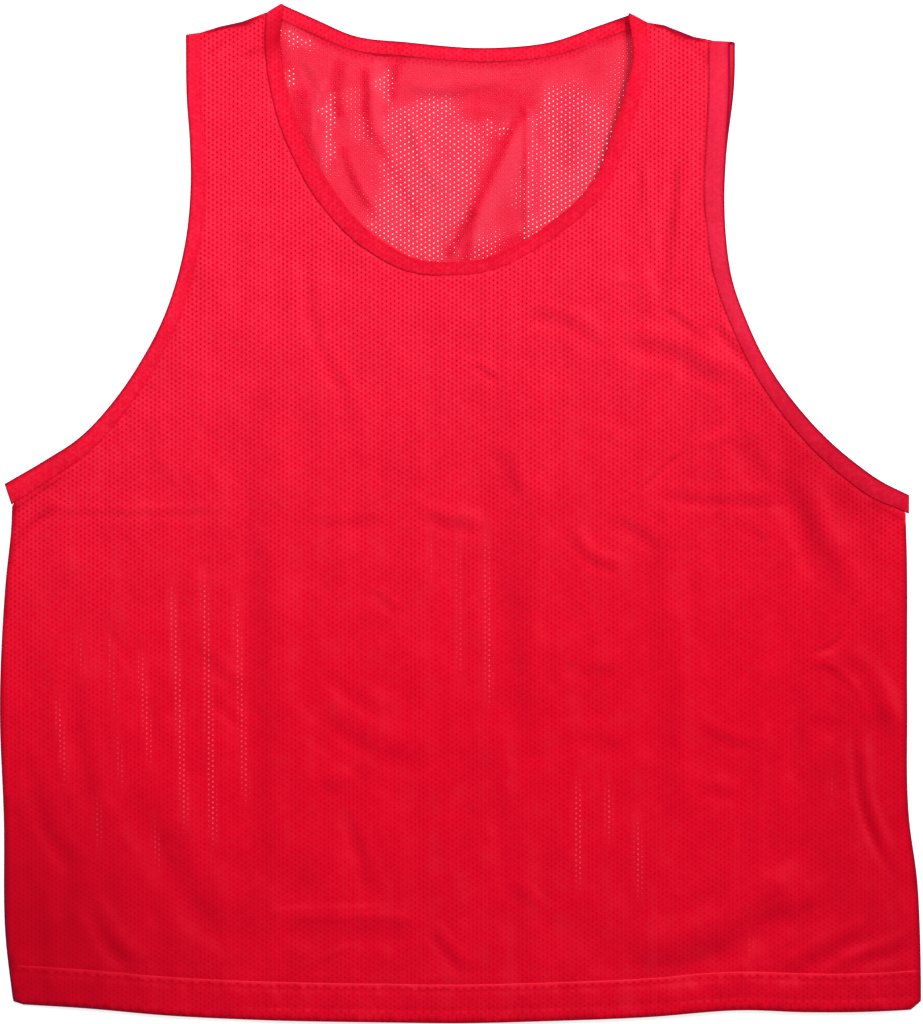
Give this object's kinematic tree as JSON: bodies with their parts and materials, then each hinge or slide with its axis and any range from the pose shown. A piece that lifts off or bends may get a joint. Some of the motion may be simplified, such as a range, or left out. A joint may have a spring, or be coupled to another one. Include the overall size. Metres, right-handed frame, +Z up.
{
  "type": "mesh training vest laid flat",
  "caption": "Sleeveless mesh training vest with a scooped front neck and bound neck and armholes, lying flat with its front up.",
  "frame": {"origin": "middle of the vest's box, on the surface that it lies on", "axes": "+X to the right as seen from above with the shoulders up, +Y from hem to shoulders, +Z up out of the front"},
  "size_m": [0.6032, 0.6685, 0.0057],
  "materials": {
    "mesh_knit": "bright red polyester mesh knit, matte with a faint sheen",
    "binding_knit": "bright red close knit strip, folded double and stitched"
  },
  "bodies": {
    "root": {"front_panel": "mesh_knit", "back_panel": "mesh_knit", "neck_binding": "binding_knit", "armhole_binding_left": "binding_knit", "armhole_binding_right": "binding_knit"}
  },
  "joints": []
}
